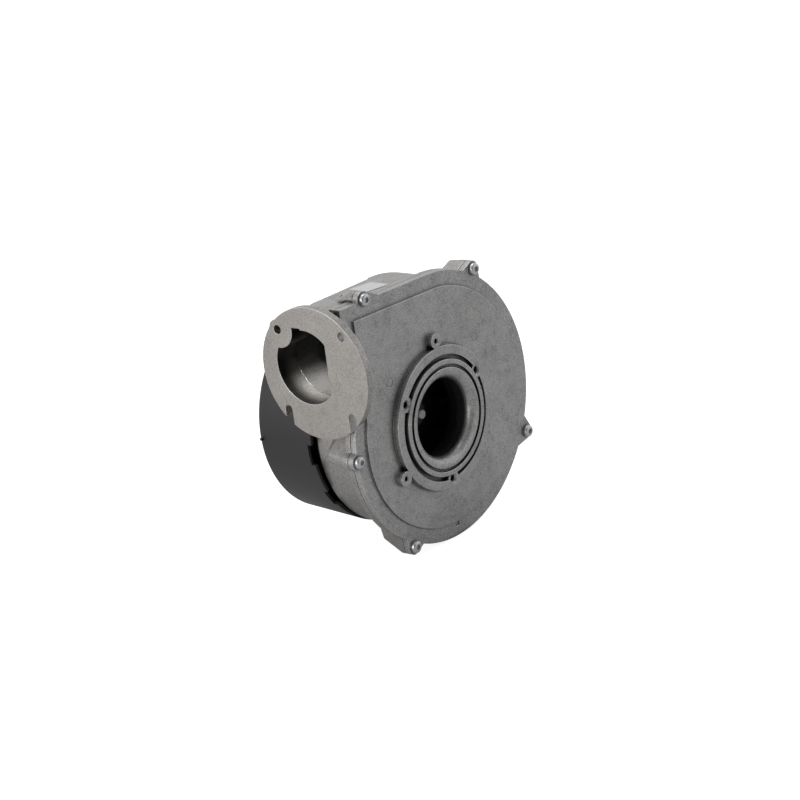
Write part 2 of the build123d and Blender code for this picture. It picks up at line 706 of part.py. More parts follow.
def impeller_hub():
    """Turned hub: a sleeve on the shaft with a flange that the back disc is riveted to."""
    body = ring(HUB_R, SHAFT_R + FIT_CLEARANCE, BACK_DISC_Y - HUB_LENGTH, BACK_DISC_Y + HUB_END)
    body += ring(HUB_FLANGE_R, SHAFT_R + FIT_CLEARANCE, HUB_FLANGE_Y, BACK_DISC_Y - BACK_DISC_T)
    for index in range(HUB_RIVET_COUNT):
        x, z = polar(HUB_RIVET_CIRCLE_R, 360 / HUB_RIVET_COUNT * index)
        body -= disc(HUB_RIVET_R + FIT_CLEARANCE, HUB_FLANGE_Y, BACK_DISC_Y, x, z)
    return body


def hub_rivets():
    """Rivets that clinch the back disc to the hub."""
    rivets = []
    for index in range(HUB_RIVET_COUNT):
        x, z = polar(HUB_RIVET_CIRCLE_R, 360 / HUB_RIVET_COUNT * index)
        rivet = disc(HUB_RIVET_R, HUB_FLANGE_Y, BACK_DISC_Y, x, z)
        rivet += disc(HUB_RIVET_HEAD_R, HUB_FLANGE_Y - HUB_RIVET_HEAD_H, HUB_FLANGE_Y, x, z)
        rivet += disc(HUB_RIVET_HEAD_R, BACK_DISC_Y, BACK_DISC_Y + HUB_RIVET_HEAD_H, x, z)
        rivets.append(rivet)
    return group(rivets)


def impeller_clip():
    """Push-on clip that keeps the hub on the shaft."""
    y1 = BACK_DISC_Y - HUB_LENGTH
    return ring(CLIP_R, SHAFT_R + FIT_CLEARANCE, y1 - CLIP_T, y1)


def motor_shaft():
    """Ground shaft with chamfered ends."""
    tip = SHAFT_R - SHAFT_CHAMFER
    return turned([
        (0, SHAFT_END_Y),
        (tip, SHAFT_END_Y),
        (SHAFT_R, SHAFT_END_Y + SHAFT_CHAMFER),
        (SHAFT_R, SHAFT_BACK_Y - SHAFT_CHAMFER),
        (tip, SHAFT_BACK_Y),
        (0, SHAFT_BACK_Y),
    ])


def shaft_seal():
    """Felt seal in the bearing boss, a hair clear of the shaft."""
    return ring(SEAL_R - FIT_CLEARANCE, SHAFT_R + SEAL_CLEARANCE, SEAL_Y, SEAL_Y + SEAL_T)


def bearing_outer_ring(y):
    """Outer ring of a deep-groove ball bearing."""
    return ring(BEARING_R - FIT_CLEARANCE, RACE_OUT_R, y, y + BEARING_W) - bearing_track(y)


def bearing_inner_ring(y):
    """Inner ring of a deep-groove ball bearing."""
    return ring(RACE_IN_R, SHAFT_R + FIT_CLEARANCE, y, y + BEARING_W) - bearing_track(y)


def bearing_track(y):
    """The round groove that the balls run in."""
    return Pos(0, y + BEARING_W / 2, 0) * Rot(90, 0, 0) * Torus(TRACK_R, BALL_R + BALL_CLEARANCE)


def bearing_balls(y):
    """Balls of a bearing, evenly spaced."""
    balls = []
    for index in range(BALL_COUNT):
        x, z = polar(TRACK_R, 360 / BALL_COUNT * index)
        balls.append(Pos(x, y + BEARING_W / 2, z) * Sphere(BALL_R))
    return group(balls)


def bearing_cage(y):
    """Crown cage: a ring beside the balls with fingers that reach between them."""
    half = CAGE_W / 2
    body = ring(TRACK_R + half, TRACK_R - half, y + BEARING_W / 2, y + BEARING_W - CAGE_SET_BACK)
    for index in range(BALL_COUNT):
        x, z = polar(TRACK_R, 360 / BALL_COUNT * index)
        body -= Pos(x, y + BEARING_W / 2, z) * Sphere(BALL_R + BALL_CLEARANCE)
    return body


def preload_spring():
    """Wave washer behind the rear bearing, pressed nearly flat."""
    y = REAR_BEARING_Y + BEARING_W
    return ring(SPRING_OUT_R, SPRING_IN_R, y, y + SPRING_T)


def rotor_core():
    """Laminated core pressed on the shaft."""
    return ring(ROTOR_CORE_R, SHAFT_R + FIT_CLEARANCE, STATOR_Y, STATOR_END_Y)


def rotor_magnets():
    """Arc magnets glued round the core."""
    full = ring(ROTOR_R, ROTOR_CORE_R + FIT_CLEARANCE, STATOR_Y, STATOR_END_Y)
    span = 360 / MAGNET_COUNT
    width = ROTOR_R * radians(MAGNET_GAP_DEG)
    middle = (ROTOR_R + ROTOR_CORE_R) / 2
    slot = Pos(middle, STATOR_Y + STATOR_LENGTH / 2, 0) * Box(2 * MAGNET_T, 2 * STATOR_LENGTH, width)
    for index in range(MAGNET_COUNT):
        full -= Rot(0, span * index, 0) * slot
    return group([full])


def stator_section(yoke_out):
    """Plan of the lamination: a yoke with teeth and tooth shoes."""
    shape = Circle(yoke_out) - Circle(YOKE_R)
    middle = (YOKE_R + yoke_out) / 2
    arm = Pos(middle / 2, 0) * Rectangle(middle, TOOTH_W)
    shoe = Pos(TOOTH_SHOE_R / 2, 0) * Rectangle(TOOTH_SHOE_R, TOOTH_SHOE_W)
    for index in range(TOOTH_COUNT):
        shape += Rot(0, 0, 360 / TOOTH_COUNT * index + 90) * (arm + shoe)
    return shape - Circle(TOOTH_TIP_R)


def stator_core():
    """Lamination stack."""
    return prism(stator_section(STATOR_R - FIT_CLEARANCE), STATOR_Y, STATOR_END_Y)


def stator_insulator(y0, y1):
    """Plastic end frame that keeps the winding off the stack."""
    return prism(stator_section(INSULATOR_R), y0, y1)


def stator_coils():
    """One winding on each tooth."""
    over = INSULATOR_T + COIL_OVER
    y0 = STATOR_Y - over
    y1 = STATOR_END_Y + over
    r0 = TOOTH_SHOE_R + COIL_CLEARANCE
    hole_w = TOOTH_W + 2 * COIL_CLEARANCE
    r1 = sqrt(YOKE_R ** 2 - (hole_w / 2 + COIL_W) ** 2) - COIL_CLEARANCE
    middle = ((r0 + r1) / 2, (y0 + y1) / 2, 0)
    outer = Pos(*middle) * Box(r1 - r0, y1 - y0, hole_w + 2 * COIL_W)
    hole_h = STATOR_LENGTH + 2 * INSULATOR_T + 2 * COIL_CLEARANCE
    outer = fillet(outer.edges().filter_by(Axis.X), COIL_ROUND)
    coil = outer - Pos(*middle) * Box(r1 - r0, hole_h, hole_w)
    coils = [Rot(0, -360 / TOOTH_COUNT * index - 90, 0) * coil for index in range(TOOTH_COUNT)]
    return group(coils)


def rear_bearing_bracket():
    """Cast bracket: a plate with windows, a ring on the stator, ears on the posts and a bearing hub."""
    out_r = STATOR_R + STATOR_RING_T
    body = disc(out_r, BRACKET_Y, BRACKET_Y + BRACKET_T)
    body += ring(out_r, STATOR_R - BRACKET_RING_WALL, STATOR_END_Y, BRACKET_Y)
    body += ring(out_r, STATOR_R, STATOR_END_Y - STATOR_SEAT_DEPTH, STATOR_END_Y)
    spring_y = REAR_BEARING_Y + BEARING_W + SPRING_T
    body += disc(BEARING_R + BRACKET_HUB_WALL, BRACKET_Y, spring_y + BRACKET_HUB_LIP)
    for angle in POST_ANGLES:
        x, z = polar(POST_CIRCLE_R, angle)
        ear = disc(POST_R, POST_TOP_Y, POST_TOP_Y + BRACKET_EAR_T, x, z)
        mx, mz = polar((POST_CIRCLE_R + STATOR_R) / 2, angle)
        link = Pos(mx, POST_TOP_Y + BRACKET_EAR_T / 2, mz) * Rot(0, -angle, 0) * Box(
            POST_CIRCLE_R - STATOR_R, BRACKET_EAR_T, 2 * POST_R)
        body += ear + link
        body -= disc(BRACKET_SCREW_R + SHANK_CLEARANCE, POST_TOP_Y, POST_TOP_Y + BRACKET_EAR_T, x, z)
    body -= disc(STATOR_R, POST_TOP_Y, STATOR_END_Y)
    body -= disc(BEARING_R, BRACKET_Y, spring_y)
    for index in range(WEB_WINDOW_COUNT):
        x, z = polar(WEB_WINDOW_CIRCLE_R, 360 / WEB_WINDOW_COUNT * index)
        body -= disc(WEB_WINDOW_R, BRACKET_Y, BRACKET_Y + BRACKET_T, x, z)
    return body


def bracket_screws():
    """Screws through the bracket ears into the posts."""
    screws = []
    for angle in POST_ANGLES:
        x, z = polar(POST_CIRCLE_R, angle)
        screws.append(pan_screw(x, z, POST_TOP_Y + BRACKET_EAR_T, -1, BRACKET_SCREW_R,
                                BRACKET_SCREW_LENGTH, BRACKET_SCREW_HEAD_R, BRACKET_SCREW_HEAD_H))
    return group(screws)


def board_standoffs():
    """Spacers between the bracket and the board."""
    parts = []
    for angle in STANDOFF_ANGLES:
        x, z = polar(STANDOFF_CIRCLE_R, angle)
        parts.append(ring(STANDOFF_R, BOARD_SCREW_R + THREAD_CLEARANCE,
                          BRACKET_Y + BRACKET_T, BOARD_Y, x, z))
    return group(parts)


def board_screws():
    """Screws that hold the board on its spacers."""
    screws = []
    for angle in STANDOFF_ANGLES:
        x, z = polar(STANDOFF_CIRCLE_R, angle)
        screws.append(pan_screw(x, z, BOARD_Y + BOARD_T, -1, BOARD_SCREW_R, BOARD_SCREW_LENGTH,
                                BOARD_SCREW_HEAD_R, BOARD_SCREW_HEAD_H))
    return group(screws)


def circuit_board():
    """Round board with clearance for the bearing hub and the screw wells."""
    face = Circle(BOARD_R) - Circle(BOARD_HOLE_R)
    for angle in WELL_ANGLES:
        x, z = polar(WELL_CIRCLE_R, angle)
        face -= Pos(x, z) * Circle(WELL_R + BOARD_CLEARANCE)
        x, z = polar(WELL_CIRCLE_R + BOARD_SLOT_SHIFT, angle)
        face -= Pos(x, z) * Circle(WELL_R + BOARD_CLEARANCE)
    for angle in STANDOFF_ANGLES:
        x, z = polar(STANDOFF_CIRCLE_R, angle)
        face -= Pos(x, z) * Circle(BOARD_SCREW_R + SHANK_CLEARANCE)
    return prism(face, BOARD_Y, BOARD_Y + BOARD_T)


def board_capacitors():
    """Electrolytic capacitors on the front of the board."""
    parts = []
    for angle in CAPACITOR_ANGLES:
        x, z = polar(CAPACITOR_CIRCLE_R, angle)
        parts.append(disc(CAPACITOR_R, BOARD_Y - CAPACITOR_H, BOARD_Y, x, z))
    return group(parts)


def board_choke():
    """Ring choke lying on the front of the board."""
    x, z = polar(CHOKE_CIRCLE_R, CHOKE_ANGLE)
    return ring(CHOKE_R, CHOKE_HOLE_R, BOARD_Y - CHOKE_T, BOARD_Y, x, z)


def socket(x, width):
    """Plug socket: an open box on the front of the board, drawn facing up and turned to the side."""
    y1 = SOCKET_Y + SOCKET_DEPTH
    height = SOCKET_TOP_Z - SOCKET_BOTTOM_Z
    depth = height - SOCKET_FLOOR
    middle_y = (SOCKET_Y + y1) / 2
    body = Pos(x, middle_y, SOCKET_TOP_Z - height / 2) * Box(width, SOCKET_DEPTH, height)
    body -= Pos(x, middle_y, SOCKET_TOP_Z - depth / 2) * Box(
        width - 2 * SOCKET_WALL, SOCKET_DEPTH - 2 * SOCKET_WALL, depth)
    body += Pos(x, (y1 + BOARD_Y) / 2, SOCKET_BOTTOM_Z + SOCKET_FOOT / 2) * Box(width, BOARD_Y - y1, SOCKET_FOOT)
    return Rot(0, SOCKET_SIDE, 0) * body


def socket_pins(x, count, pitch):
    """Contact pins standing on the socket's floor."""
    pins = []
    base_z = SOCKET_BOTTOM_Z + SOCKET_FLOOR
    for index in range(count):
        pin_x = x + (index - (count - 1) / 2) * pitch
        middle = (pin_x, SOCKET_Y + SOCKET_DEPTH / 2, base_z + PIN_LENGTH / 2)
        pins.append(Rot(0, SOCKET_SIDE, 0) * Pos(*middle) * Box(PIN_W, PIN_W, PIN_LENGTH))
    return group(pins)


def cap_shell(inset, front):
    """Outer or inner form of the motor cover: a slight taper and a rounded rear edge."""
    rear = CAP_REAR_Y - inset
    round_r = CAP_ROUND - inset
    slope = (CAP_FRONT_R - CAP_REAR_R) / (CAP_REAR_Y - CAP_FRONT_Y)
    front_r = CAP_FRONT_R - inset + slope * (CAP_FRONT_Y - front)
    rear_r = CAP_REAR_R - inset
    bend = round_r * (1 - cos(pi / 4))
    edges = [
        Line((0, front), (front_r, front)),
        Line((front_r, front), (rear_r, rear - round_r)),
        ThreePointArc((rear_r, rear - round_r), (rear_r - bend, rear - bend), (rear_r - round_r, rear)),
        Line((rear_r - round_r, rear), (0, rear)),
        Line((0, rear), (0, front)),
    ]
    return revolve(make_face(edges), Axis.Y)


def socket_pad(inset):
    """Outer or inner form of the flat pad round the sockets, drawn facing up."""
    top = CAP_REAR_R + CAP_PAD_TOP - inset
    y0 = CAP_PAD_Y + inset
    y1 = CAP_REAR_Y - CAP_PAD_REAR_GAP - inset
    middle = ((CAP_PAD_LOW + CAP_PAD_HIGH) / 2, (y0 + y1) / 2, (top + CAP_PAD_BASE) / 2)
    return Pos(*middle) * Box(CAP_PAD_HIGH - CAP_PAD_LOW - 2 * inset, y1 - y0, top - CAP_PAD_BASE)


def motor_cover():
    """Moulded cap: shell, socket pad, screw wells, ventilation notches and a small tab."""
    pad = socket_pad(0)
    pad = fillet(pad.edges().filter_by(Axis.Z), CAP_PAD_ROUND)
    body = cap_shell(0, CAP_FRONT_Y) + Rot(0, SOCKET_SIDE, 0) * pad
    body += disc(CAP_STEP_R, CAP_REAR_Y - CAP_OVERLAP, CAP_REAR_Y + CAP_STEP_H)
    body -= cap_shell(CAP_WALL, CAP_FRONT_Y - CAP_OVERLAP)
    body -= Rot(0, SOCKET_SIDE, 0) * socket_pad(CAP_WALL)
    for angle in WELL_ANGLES:
        x, z = polar(WELL_CIRCLE_R, angle)
        body += disc(WELL_R, CAP_BOSS_Y, CAP_REAR_Y - CAP_OVERLAP, x, z)
        body -= disc(WELL_BORE_R, CAP_BOSS_Y + WELL_FLOOR_T, CAP_REAR_Y + CAP_OVERLAP, x, z)
        body -= disc(CAP_SCREW_R + SHANK_CLEARANCE, CAP_BOSS_Y, CAP_REAR_Y, x, z)
    gap = 2 * SOCKET_CLEARANCE
    for x, width in ((POWER_SOCKET_X, POWER_SOCKET_W), (CONTROL_SOCKET_X, CONTROL_SOCKET_W)):
        mouth = Pos(x, SOCKET_Y + SOCKET_DEPTH / 2, SOCKET_TOP_Z) * Box(
            width + gap, SOCKET_DEPTH + gap, SOCKET_MOUTH)
        body -= Rot(0, SOCKET_SIDE, 0) * mouth
    for angle in NOTCH_ANGLES:
        notch = Pos(CAP_FRONT_R, CAP_FRONT_Y, 0) * Box(4 * CAP_WALL, 2 * NOTCH_DEPTH, NOTCH_W)
        body -= Rot(0, -angle, 0) * notch
    tab = Pos(CAP_REAR_R + TAB_LENGTH / 2 - TAB_ROOT, CAP_REAR_Y - CAP_ROUND, 0) * Box(
        TAB_LENGTH, TAB_W, TAB_W)
    body += Rot(0, -TAB_ANGLE, 0) * tab
    return body


def motor_cover_screws():
    """Screws at the bottom of the cover's wells."""
    screws = []
    for angle in WELL_ANGLES:
        x, z = polar(WELL_CIRCLE_R, angle)
        screws.append(pan_screw(x, z, CAP_BOSS_Y + WELL_FLOOR_T, -1, CAP_SCREW_R, CAP_SCREW_LENGTH,
                                CAP_SCREW_HEAD_R, CAP_SCREW_HEAD_H))
    return group(screws)


def blank_label():
    """Plain foil patch that lies on the scroll's sloping top."""
    z0 = SCROLL_END_R + SCROLL_TOP_SLOPE * LABEL_X0
    z1 = SCROLL_END_R + SCROLL_TOP_SLOPE * LABEL_X1
    corners = [
        (LABEL_X0, z0),
        (LABEL_X1, z1),
        (LABEL_X1, z1 + LABEL_T),
        (LABEL_X0, z0 + LABEL_T),
    ]
    return prism(make_face(Polyline(*corners, close=True)), LABEL_Y0, LABEL_Y1)


os.makedirs("parts", exist_ok=True)
save(volute_housing(), "volute_housing")
save(inlet_cover(), "inlet_cover")
save(cover_gasket(), "cover_gasket")
save(cover_screws(), "cover_screws")
save(impeller_front_shroud(), "impeller_front_shroud")
save(impeller_blades(), "impeller_blades")
save(impeller_back_disc(), "impeller_back_disc")
save(impeller_hub(), "impeller_hub")
save(hub_rivets(), "hub_rivets")
save(impeller_clip(), "impeller_clip")
save(motor_shaft(), "motor_shaft")
save(shaft_seal(), "shaft_seal")
save(bearing_outer_ring(FRONT_BEARING_Y), "front_bearing_outer_ring")
save(bearing_inner_ring(FRONT_BEARING_Y), "front_bearing_inner_ring")
save(bearing_balls(FRONT_BEARING_Y), "front_bearing_balls")
save(bearing_cage(FRONT_BEARING_Y), "front_bearing_cage")
save(bearing_outer_ring(REAR_BEARING_Y), "rear_bearing_outer_ring")
save(bearing_inner_ring(REAR_BEARING_Y), "rear_bearing_inner_ring")
save(bearing_balls(REAR_BEARING_Y), "rear_bearing_balls")
save(bearing_cage(REAR_BEARING_Y), "rear_bearing_cage")
save(preload_spring(), "preload_spring")
save(rotor_core(), "rotor_core")
save(rotor_magnets(), "rotor_magnets")
save(stator_core(), "stator_core")
save(stator_insulator(STATOR_Y - INSULATOR_T, STATOR_Y), "stator_insulator_front")
save(stator_insulator(STATOR_END_Y, STATOR_END_Y + INSULATOR_T), "stator_insulator_rear")
save(stator_coils(), "stator_coils")
save(rear_bearing_bracket(), "rear_bearing_bracket")
save(bracket_screws(), "bracket_screws")
save(board_standoffs(), "board_standoffs")
save(board_screws(), "board_screws")
save(circuit_board(), "circuit_board")
save(board_capacitors(), "board_capacitors")
save(board_choke(), "board_choke")
save(socket(POWER_SOCKET_X, POWER_SOCKET_W), "power_socket")
save(socket_pins(POWER_SOCKET_X, POWER_PINS, POWER_PITCH), "power_socket_pins")
save(socket(CONTROL_SOCKET_X, CONTROL_SOCKET_W), "control_socket")
save(socket_pins(CONTROL_SOCKET_X, CONTROL_PINS, CONTROL_PITCH), "control_socket_pins")
save(motor_cover(), "motor_cover")
save(motor_cover_screws(), "motor_cover_screws")
save(blank_label(), "blank_label")
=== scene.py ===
import math

import bmesh
import bpy
from mathutils import Matrix, Vector
from mathutils.bvhtree import BVHTree


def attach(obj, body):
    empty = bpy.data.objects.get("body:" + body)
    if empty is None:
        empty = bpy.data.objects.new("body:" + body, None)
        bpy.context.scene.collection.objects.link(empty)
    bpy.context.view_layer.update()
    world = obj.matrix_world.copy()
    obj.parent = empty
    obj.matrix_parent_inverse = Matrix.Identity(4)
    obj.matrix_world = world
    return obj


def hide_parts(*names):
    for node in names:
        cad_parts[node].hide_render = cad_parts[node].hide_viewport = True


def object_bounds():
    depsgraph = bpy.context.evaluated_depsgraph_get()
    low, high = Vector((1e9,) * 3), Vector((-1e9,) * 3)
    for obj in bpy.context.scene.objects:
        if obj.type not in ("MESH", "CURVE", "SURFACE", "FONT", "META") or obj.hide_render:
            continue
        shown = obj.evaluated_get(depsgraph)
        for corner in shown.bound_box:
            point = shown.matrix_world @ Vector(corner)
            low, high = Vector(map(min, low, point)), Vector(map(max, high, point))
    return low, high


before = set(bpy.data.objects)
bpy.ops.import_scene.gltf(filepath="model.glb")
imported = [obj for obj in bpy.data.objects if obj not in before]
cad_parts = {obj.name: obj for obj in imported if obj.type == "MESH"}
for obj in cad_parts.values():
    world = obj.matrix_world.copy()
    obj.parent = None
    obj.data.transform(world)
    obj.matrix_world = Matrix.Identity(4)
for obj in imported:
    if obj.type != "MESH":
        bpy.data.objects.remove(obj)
cad_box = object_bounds()

# Camera: at the photograph's place, worked out from the inlet rings and the outlet flange.
# Its position, turn and lens are in the object's own frame, in metres.
azimuth = math.radians(-48.002)
elevation = math.radians(18.089)
roll = math.radians(-7.597)
distance = 1.838235
shift_right = 0.033883
shift_up = -0.013103
back = Vector((math.sin(azimuth) * math.cos(elevation),
               -math.cos(azimuth) * math.cos(elevation),
               math.sin(elevation)))
right = Vector((math.cos(azimuth), math.sin(azimuth), 0))
up = back.cross(right)
image_right = math.cos(roll) * right + math.sin(roll) * up
image_up = -math.sin(roll) * right + math.cos(roll) * up
camera_data = bpy.data.cameras.new("camera")
camera_data.sensor_width = 36
camera_data.lens = 112.5
camera_data.clip_start = 0.05
camera = bpy.data.objects.new("camera", camera_data)
bpy.context.scene.collection.objects.link(camera)
stand = distance * back - shift_right * image_right - shift_up * image_up
turn = Matrix((image_right, image_up, back)).transposed().to_4x4()
camera.matrix_world = Matrix.Translation(stand) @ turn
bpy.context.scene.camera = camera
bpy.context.scene.view_settings.view_transform = "Standard"


# Studio: white surroundings that glow softly behind the object and low at its right, a pale
# floor, large soft lamps at the left and above, a small one low at the left, and a narrow beam
# that falls through the outlet onto the floor of the duct behind it.
def new_nodes(block):
    """The emptied node tree of a material or of the world."""
    block.use_nodes = True
    tree = block.node_tree
    tree.nodes.clear()
    return tree


def feed(tree, value, socket):
    """Gives an input a plain value, or links it to another node's output."""
    if isinstance(value, bpy.types.NodeSocket):
        tree.links.new(value, socket)
    else:
        socket.default_value = value


def node_at(tree, kind, **values):
    """A new node. Each named value is one of its settings, or goes to the input of that name."""
    node = tree.nodes.new(kind)
    for key, value in values.items():
        if hasattr(node, key):
            setattr(node, key, value)
        else:
            feed(tree, value, node.inputs[key])
    return node


def worked_out(tree, operation, *terms, clamp=False):
    """The sum, product or larger of other nodes' outputs and plain numbers."""
    node = node_at(tree, "ShaderNodeMath", operation=operation, use_clamp=clamp)
    for term, socket in zip(terms, node.inputs):
        feed(tree, term, socket)
    return node.outputs[0]


def ramp(tree, value, start, end, least=0.0, most=1.0, curve="SMOOTHSTEP"):
    """A value that goes from least to most while another one goes from start to end."""
    node = node_at(tree, "ShaderNodeMapRange", interpolation_type=curve, Value=value)
    for label, number in (("From Min", start), ("From Max", end), ("To Min", least), ("To Max", most)):
        node.inputs[label].default_value = number
    return node.outputs[0]


def seen_as_white(tree):
    """How far a ray meets plain white: a camera or transmission ray fully, a glossy one a little."""
    glossy_share = 0.12
    ray = tree.nodes.new("ShaderNodeLightPath").outputs
    straight = worked_out(tree, "MULTIPLY_ADD", ray["Is Glossy Ray"], glossy_share, ray["Is Camera Ray"])
    return worked_out(tree, "MAXIMUM", straight, ray["Is Transmission Ray"])


def shown_as(tree, usual, white, output):
    """Sends one shader to the output for most rays, and the other where a ray meets plain white."""
    pick = node_at(tree, "ShaderNodeMixShader", Fac=seen_as_white(tree))
    tree.links.new(usual, pick.inputs[1])
    tree.links.new(white, pick.inputs[2])
    tree.links.new(pick.outputs[0], output.inputs["Surface"])


world = bpy.data.worlds.new("studio")
bpy.context.scene.world = world
tree = new_nodes(world)
output = tree.nodes.new("ShaderNodeOutputWorld")
direction = tree.nodes.new("ShaderNodeTexCoord").outputs["Generated"]
glows = []
for towards, start, end, least, most in (
    ((-0.25, 0.85, 0.45), -0.35, 0.75, 0.04, 0.95),
    ((0.80, -0.55, -0.20), 0.15, 0.90, 0.0, 0.95),
):
    facing = node_at(tree, "ShaderNodeVectorMath", operation="DOT_PRODUCT")
    feed(tree, direction, facing.inputs[0])
    feed(tree, towards, facing.inputs[1])
    glows.append(ramp(tree, facing.outputs["Value"], start, end, least, most))
soft_sky = node_at(tree, "ShaderNodeBackground", Color=(0.99, 0.99, 1.0, 1),
                   Strength=worked_out(tree, "ADD", *glows))
white_back = node_at(tree, "ShaderNodeBackground", Color=(1, 1, 1, 1), Strength=1.0)
shown_as(tree, soft_sky.outputs[0], white_back.outputs[0], output)


def hang_lamp(name, kind, place, aim, power, colour):
    """A lamp at a place, turned towards what it lights. Gives back its settings."""
    data = bpy.data.lights.new(name, kind)
    data.energy = power
    data.color = colour
    lamp = bpy.data.objects.new(name, data)
    bpy.context.scene.collection.objects.link(lamp)
    lamp.location = place
    lamp.rotation_mode = "QUATERNION"
    lamp.rotation_quaternion = (Vector(aim) - Vector(place)).to_track_quat("-Z", "Y")
    return data


housing_middle = (0, 0.03, 0)
for name, place, width, height, power, colour in (
    ("light_left", (-1.6, 0.35, 0.35), 1.0, 0.8, 7, (1.0, 0.985, 0.96)),
    ("light_low", (-1.3, -0.22, 0.05), 0.35, 0.35, 2, (1.0, 0.98, 0.95)),
    ("light_top", (0.1, 0.2, 1.6), 0.9, 0.9, 7, (1.0, 1.0, 1.0)),
):
    soft_lamp = hang_lamp(name, "AREA", place, housing_middle, power, colour)
    soft_lamp.shape = "RECTANGLE"
    soft_lamp.size = width
    soft_lamp.size_y = height
duct_floor = (-0.076, 0.048, 0.045)
beam = hang_lamp("light_duct", "SPOT", (-1.081, -0.552, 0.975), duct_floor, 150, (1.0, 1.0, 1.0))
beam.spot_size = math.radians(1.7)
beam.spot_blend = 0.9
beam.shadow_soft_size = 0.015

floor_reach = 3
floor_z = cad_box[0].z - 0.0005
corners = [(x * floor_reach, y * floor_reach, floor_z) for x, y in ((-1, -1), (1, -1), (1, 1), (-1, 1))]
floor_mesh = bpy.data.meshes.new("floor")
floor_mesh.from_pydata(corners, [], [(0, 1, 2, 3)])
floor = bpy.data.objects.new("floor", floor_mesh)
bpy.context.scene.collection.objects.link(floor)
floor_paint = bpy.data.materials.new("floor_paint")
tree = new_nodes(floor_paint)
output = tree.nodes.new("ShaderNodeOutputMaterial")
matt = node_at(tree, "ShaderNodeBsdfDiffuse", Color=(0.50, 0.50, 0.50, 1))
glow = node_at(tree, "ShaderNodeEmission", Color=(1, 1, 1, 1), Strength=0.88)
both = tree.nodes.new("ShaderNodeAddShader")
tree.links.new(matt.outputs[0], both.inputs[0])
tree.links.new(glow.outputs[0], both.inputs[1])
shown_as(tree, matt.outputs[0], both.outputs[0], output)
floor_mesh.materials.append(floor_paint)


# Scroll housing: one large aluminium die casting, tumbled after casting, with its outlet
# flange face milled flat. A fine grain, grey stains and lighter worn edges, partly a painted
# edge highlight, cover it; painted shade darkens its creases, the mouth and the upper wall of its duct.
def smooth_copy(node, name, cutter=None):
    """A welded copy of a CAD node's mesh, smooth across its curves and sharp at its edges."""
    weld = 2e-6
    crease = math.radians(32)
    mesh = bpy.data.meshes.new(name)
    work = bmesh.new()
    work.from_mesh(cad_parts[node].data)
    bmesh.ops.remove_doubles(work, verts=work.verts, dist=weld)
    if cutter:
        blank_mesh = bpy.data.meshes.new(name + "_blank")
        work.to_mesh(blank_mesh)
        blank = bpy.data.objects.new(name + "_blank", blank_mesh)
        bpy.context.scene.collection.objects.link(blank)
        milled = blank.modifiers.new("milled", "BOOLEAN")
        milled.operation = "DIFFERENCE"
        milled.solver = "EXACT"
        milled.object = cutter
        evaluated = blank.evaluated_get(bpy.context.evaluated_depsgraph_get())
        work.clear()
        work.from_mesh(bpy.data.meshes.new_from_object(evaluated))
        bpy.data.objects.remove(blank)
        bpy.data.objects.remove(cutter)
    for face in work.faces:
        face.smooth = True
    for edge in work.edges:
        edge.smooth = len(edge.link_faces) == 2 and edge.calc_face_angle(0) < crease
    work.to_mesh(mesh)
    work.free()
    piece = bpy.data.objects.new(name, mesh)
    bpy.context.scene.collection.objects.link(piece)
    evened = piece.modifiers.new("even_normals", "WEIGHTED_NORMAL")
    evened.keep_sharp = True
    return piece


def wear(piece, body, material, slot, *nodes):
    """Gives a piece its material and its place among the bodies, and hides the CAD nodes it stands for."""
    piece.data.materials.clear()
    piece.data.materials.append(material)
    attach(piece, body)
    if nodes:
        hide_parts(*nodes)


def open_group(name, inputs, outputs):
    """An effect that several materials share: the group, what it is given and what it gives."""
    group = bpy.data.node_groups.new(name, "ShaderNodeTree")
    for label, kind, value in inputs:
        socket = group.interface.new_socket(label, in_out="INPUT", socket_type="NodeSocket" + kind)
        socket.default_value = value
    for label, kind in outputs:
        group.interface.new_socket(label, in_out="OUTPUT", socket_type="NodeSocket" + kind)
    return group, group.nodes.new("NodeGroupInput").outputs, group.nodes.new("NodeGroupOutput").inputs


def placed_group(tree, group, **values):
    """A shared effect in one material, with that material's own values."""
    node = tree.nodes.new("ShaderNodeGroup")
    node.node_tree = group
    for label, value in values.items():
        feed(tree, value, node.inputs[label.replace("_", " ")])
    return node


def mixed(tree, share, first, second):
    """A colour that goes from the first to the second as the share grows."""
    node = node_at(tree, "ShaderNodeMix", data_type="RGBA", Factor=share, A=first, B=second)
    return node.outputs["Result"]


def dimmed(tree, colour, share):
    """A colour multiplied by a share."""
    node = node_at(tree, "ShaderNodeVectorMath", operation="SCALE", Scale=share)
    tree.links.new(colour, node.inputs[0])
    return node.outputs[0]


casting_skin, given, result = open_group(
    "casting_skin",
    (("Clean", "Color", (0.3, 0.3, 0.3, 1)), ("Stain", "Color", (0.15, 0.15, 0.15, 1)),
     ("Rubbed", "Color", (0.5, 0.5, 0.5, 1)), ("Stains", "Float", 0.5), ("Grain", "Float", 0.5),
     ("Offset", "Float", 0.0)),
    (("Color", "Color"), ("Roughness", "Float"), ("Height", "Float"), ("Edge Normal", "Vector")))
tree = casting_skin
moved = node_at(tree, "ShaderNodeVectorMath", operation="ADD")
tree.links.new(tree.nodes.new("ShaderNodeTexCoord").outputs["Object"], moved.inputs[0])
tree.links.new(given["Offset"], moved.inputs[1])
spot = moved.outputs[0]
speckle = node_at(tree, "ShaderNodeTexNoise", Vector=spot, Scale=1050.0, Detail=2.0,
                  Roughness=0.7).outputs["Fac"]
blotch = node_at(tree, "ShaderNodeTexNoise", Vector=spot, Scale=210.0, Detail=6.0, Roughness=0.78,
                 Distortion=1.2).outputs["Fac"]
cloud = node_at(tree, "ShaderNodeTexNoise", Vector=spot, Scale=38.0, Detail=4.0, Roughness=0.6,
                Distortion=0.9).outputs["Fac"]
